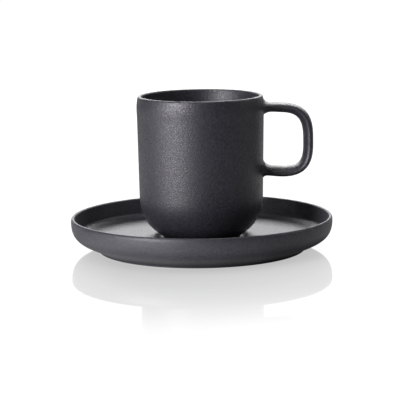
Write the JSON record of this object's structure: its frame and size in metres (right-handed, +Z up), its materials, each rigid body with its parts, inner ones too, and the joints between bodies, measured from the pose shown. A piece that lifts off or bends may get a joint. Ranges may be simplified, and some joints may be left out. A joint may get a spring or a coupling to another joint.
{
  "type": "espresso cup with saucer",
  "caption": "Straight-sided matt dark stoneware espresso cup with a rounded lower corner and a squared loop handle, standing in the well of a round dished saucer.",
  "frame": {"origin": "on the common axis of cup and saucer, in the plane of the saucer's foot ring, which is the plane it stands on", "axes": "+Z up along the common axis; +X from the axis to the cup's handle; +Y completes a right-handed frame"},
  "size_m": [0.12, 0.12, 0.0708],
  "materials": {
    "cup_stoneware": "matt anthracite glaze with a fine grain, bare on the foot ring",
    "saucer_stoneware": "matt anthracite glaze with a fine grain, bare on the foot ring"
  },
  "bodies": {
    "saucer": {"saucer": "saucer_stoneware"},
    "cup": {"cup_body": "cup_stoneware", "handle": "cup_stoneware"}
  },
  "joints": [
    {"name": "cup_lift", "type": "slide", "parent": "saucer", "child": "cup", "axis": [0, 0, 1], "range_m": [0, 0.08]}
  ]
}
